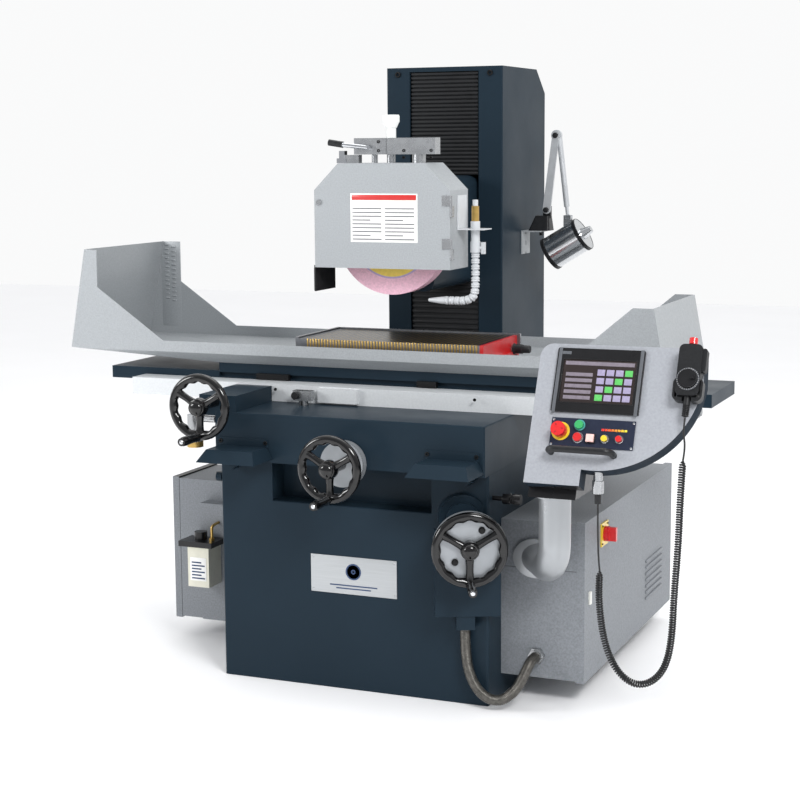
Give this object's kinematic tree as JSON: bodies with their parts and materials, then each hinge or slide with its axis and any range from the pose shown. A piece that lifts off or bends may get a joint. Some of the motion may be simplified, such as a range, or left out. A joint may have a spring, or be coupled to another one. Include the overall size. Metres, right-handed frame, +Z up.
{
  "type": "surface grinder",
  "caption": "saddle-type surface grinder with magnetic chuck, reciprocating table in a splash trough, column with guarded wheel head, swivel control console and side cabinets",
  "frame": {"origin": "on the floor, below the centre of the magnetic chuck at rest", "axes": "+Z up, +X to the operator's right along the table's travel, -Y towards the operator"},
  "size_m": [2.148, 1.4475, 1.811],
  "materials": {
    "casting_paint": "satin",
    "sheet_grey": "satin",
    "cabinet_grey": "textured",
    "steel": "ground",
    "bright_steel": "polished",
    "iron": "machined",
    "brass": "polished",
    "rubber": "matt",
    "black_plastic": "matt",
    "grey_plastic": "matt",
    "white_plastic": "gloss",
    "red_plastic": "gloss",
    "green_plastic": "gloss",
    "yellow_plastic": "gloss",
    "abrasive": "rough"
  },
  "bodies": {
    "base": {"base_casting": "casting_paint", "column_casting": "casting_paint", "column_bellows": "rubber", "elevating_gearbox": "casting_paint", "conduit": "grey_plastic", "electrical_cabinet": "cabinet_grey", "switchgear": "grey_plastic", "console_pipe": "sheet_grey", "hydraulic_cabinet": "cabinet_grey", "lube_unit": "white_plastic"},
    "elevating_screw": {"elevating_screw": "steel"},
    "head": {"head_casting": "casting_paint", "spindle_bearings": "steel", "guard_housing": "sheet_grey", "dresser_frame": "sheet_grey", "coolant_valve": "brass", "coolant_nozzle": "grey_plastic"},
    "spindle": {"spindle": "steel", "wheel_flange": "steel", "grinding_wheel": "abrasive"},
    "guard_door": {"guard_door": "sheet_grey"},
    "dresser_lever": {"dresser_lever": "bright_steel"},
    "dresser_knob": {"dresser_knob": "black_plastic"},
    "coolant_tap": {"coolant_tap": "brass"},
    "lamp_base": {"lamp_base": "black_plastic"},
    "lamp_lower_arm": {"lamp_lower_arm": "sheet_grey"},
    "lamp_upper_arm": {"lamp_upper_arm": "sheet_grey"},
    "lamp_head": {"lamp_head": "sheet_grey"},
    "saddle": {"saddle": "casting_paint", "way_cover": "sheet_grey", "tool_trays": "casting_paint", "table_valve": "grey_plastic"},
    "reversing_lever": {"reversing_lever": "bright_steel"},
    "table": {"table": "iron", "splash_trough": "sheet_grey", "magnetic_chuck": "steel"},
    "trip_dog_left": {"trip_dog_left": "steel"},
    "trip_dog_right": {"trip_dog_right": "steel"},
    "table_handwheel": {"table_handwheel": "bright_steel"},
    "cross_handwheel": {"cross_handwheel": "bright_steel"},
    "elevating_handwheel": {"elevating_handwheel": "bright_steel"},
    "console": {"console_housing": "sheet_grey", "console_panels": "black_plastic", "console_handle": "black_plastic", "cord_plug": "black_plastic", "cord_lead": "rubber", "cord_curl": "rubber", "cord_top": "rubber"},
    "emergency_stop": {"emergency_stop": "red_plastic"},
    "start_button": {"start_button": "green_plastic"},
    "stop_button": {"stop_button": "red_plastic"},
    "lit_button": {"lit_button": "red_plastic"},
    "yellow_button": {"yellow_button": "yellow_plastic"},
    "reset_button": {"reset_button": "red_plastic"},
    "pendant": {"pendant": "grey_plastic"},
    "pendant_dial": {"pendant_dial": "black_plastic"},
    "pendant_stop": {"pendant_stop": "red_plastic"},
    "cabinet_door": {"cabinet_door": "cabinet_grey"},
    "isolator_knob": {"isolator_knob": "red_plastic"},
    "door_latch": {"door_latch": "bright_steel"}
  },
  "joints": [
    {"name": "head_slide", "type": "slide", "parent": "base", "child": "head", "axis": [0, 0, 1], "range_m": [-0.1, 0.2], "deforming": ["column_bellows"]},
    {"name": "elevating_screw_turn", "type": "hinge", "parent": "base", "child": "elevating_screw", "pos_m": [0, 0.554, 1.2], "axis": [0, 0, 1], "continuous": true},
    {"name": "elevating_handwheel_turn", "type": "hinge", "parent": "base", "child": "elevating_handwheel", "pos_m": [0.40773, -0.55241, 0.475], "axis": [0.4226, -0.9063, 0], "continuous": true},
    {"name": "spindle_spin", "type": "hinge", "parent": "head", "child": "spindle", "pos_m": [0, -0.1, 1.304], "axis": [0, -1, 0], "continuous": true},
    {"name": "guard_door_hinge", "type": "hinge", "parent": "head", "child": "guard_door", "pos_m": [0.22, -0.2, 1.36], "axis": [0, 0, 1], "range_deg": [0, 110]},
    {"name": "dresser_lever_turn", "type": "hinge", "parent": "head", "child": "dresser_lever", "pos_m": [-0.058, -0.16, 1.561], "axis": [0, 1, 0], "range_deg": [-25, 25]},
    {"name": "dresser_knob_turn", "type": "hinge", "parent": "head", "child": "dresser_knob", "pos_m": [0.003, -0.128, 1.63], "axis": [0, 0, 1], "continuous": true},
    {"name": "coolant_tap_turn", "type": "hinge", "parent": "head", "child": "coolant_tap", "pos_m": [0.28, -0.112, 1.27], "axis": [1, 0, 0], "range_deg": [0, 90]},
    {"name": "lamp_swivel", "type": "hinge", "parent": "base", "child": "lamp_base", "pos_m": [0.252, 0.528, 1.3], "axis": [0, 0, 1], "range_deg": [-12, 15]},
    {"name": "lamp_lower_tilt", "type": "hinge", "parent": "lamp_base", "child": "lamp_lower_arm", "pos_m": [0.274, 0.528, 1.357], "axis": [0, 1, 0], "range_deg": [-3, 5]},
    {"name": "lamp_upper_tilt", "type": "hinge", "parent": "lamp_lower_arm", "child": "lamp_upper_arm", "pos_m": [0.303, 0.528, 1.596], "axis": [0, 1, 0], "range_deg": [-8, 0]},
    {"name": "lamp_head_tilt", "type": "hinge", "parent": "lamp_upper_arm", "child": "lamp_head", "pos_m": [0.343, 0.528, 1.331], "axis": [0, 1, 0], "range_deg": [-15, 0]},
    {"name": "saddle_slide", "type": "slide", "parent": "base", "child": "saddle", "axis": [0, 1, 0], "range_m": [-0.27, 0]},
    {"name": "table_slide", "type": "slide", "parent": "saddle", "child": "table", "axis": [1, 0, 0], "range_m": [-0.35, 0.35]},
    {"name": "reversing_lever_turn", "type": "hinge", "parent": "saddle", "child": "reversing_lever", "pos_m": [-0.225, -0.274, 0.82], "axis": [0, 0, 1], "range_deg": [-20, 20]},
    {"name": "trip_dog_left_slide", "type": "slide", "parent": "table", "child": "trip_dog_left", "axis": [1, 0, 0], "range_m": [-0.1, 0.1]},
    {"name": "trip_dog_right_slide", "type": "slide", "parent": "table", "child": "trip_dog_right", "axis": [1, 0, 0], "range_m": [-0.1, 0.1]},
    {"name": "table_handwheel_turn", "type": "hinge", "parent": "saddle", "child": "table_handwheel", "pos_m": [-0.415, -0.566, 0.828], "axis": [0, -1, 0], "continuous": true},
    {"name": "cross_handwheel_turn", "type": "hinge", "parent": "saddle", "child": "cross_handwheel", "pos_m": [0, -0.578, 0.676], "axis": [0, -1, 0], "continuous": true},
    {"name": "console_swivel", "type": "hinge", "parent": "base", "child": "console", "pos_m": [0.623, -0.47, 0.66], "axis": [0, 0, 1], "range_deg": [-45, 0]},
    {"name": "start_button_press", "type": "slide", "parent": "console", "child": "start_button", "axis": [0, 0.9135, -0.4067], "range_m": [0, 0.003], "stiffness_N_per_m": 400, "springref_m": -0.001},
    {"name": "stop_button_press", "type": "slide", "parent": "console", "child": "stop_button", "axis": [0, 0.9135, -0.4067], "range_m": [0, 0.003], "stiffness_N_per_m": 400, "springref_m": -0.001},
    {"name": "yellow_button_press", "type": "slide", "parent": "console", "child": "yellow_button", "axis": [0, 0.9135, -0.4067], "range_m": [0, 0.003], "stiffness_N_per_m": 400, "springref_m": -0.001},
    {"name": "reset_button_press", "type": "slide", "parent": "console", "child": "reset_button", "axis": [0, 0.9135, -0.4067], "range_m": [0, 0.003], "stiffness_N_per_m": 400, "springref_m": -0.001},
    {"name": "lit_button_press", "type": "slide", "parent": "console", "child": "lit_button", "axis": [0, 0.9135, -0.4067], "range_m": [0, 0.003], "stiffness_N_per_m": 400, "springref_m": -0.001},
    {"name": "emergency_stop_press", "type": "slide", "parent": "console", "child": "emergency_stop", "axis": [0, 0.9135, -0.4067], "range_m": [0, 0.003], "stiffness_N_per_m": 900, "springref_m": -0.001},
    {"name": "pendant_lift", "type": "slide", "parent": "console", "child": "pendant", "axis": [0, 0.4067, 0.9135], "range_m": [0, 0.06]},
    {"name": "pendant_dial_turn", "type": "hinge", "parent": "pendant", "child": "pendant_dial", "pos_m": [1.018, -0.62853, 0.98426], "axis": [0, -0.9135, 0.4067], "continuous": true},
    {"name": "pendant_stop_press", "type": "slide", "parent": "pendant", "child": "pendant_stop", "axis": [0, -0.4067, -0.9135], "range_m": [0, 0.003], "stiffness_N_per_m": 500, "springref_m": -0.001},
    {"name": "cabinet_door_hinge", "type": "hinge", "parent": "base", "child": "cabinet_door", "pos_m": [0.64315, 0.6583, 0.29], "axis": [0, 0, 1], "range_deg": [0, 100]},
    {"name": "isolator_turn", "type": "hinge", "parent": "cabinet_door", "child": "isolator_knob", "pos_m": [0.68, -0.146, 0.457], "axis": [1, 0, 0], "range_deg": [0, 90]},
    {"name": "door_latch_turn", "type": "hinge", "parent": "cabinet_door", "child": "door_latch", "pos_m": [0.67, -0.287, 0.301], "axis": [1, 0, 0], "range_deg": [0, 90]}
  ],
  "couplings": [
    {"joint": "elevating_screw_turn", "follows": "head_slide", "rad_per_m": 1256.6},
    {"joint": "elevating_handwheel_turn", "follows": "head_slide", "rad_per_m": 6283.2},
    {"joint": "table_handwheel_turn", "follows": "table_slide", "rad_per_m": 62.832},
    {"joint": "cross_handwheel_turn", "follows": "saddle_slide", "rad_per_m": 1256.6}
  ]
}
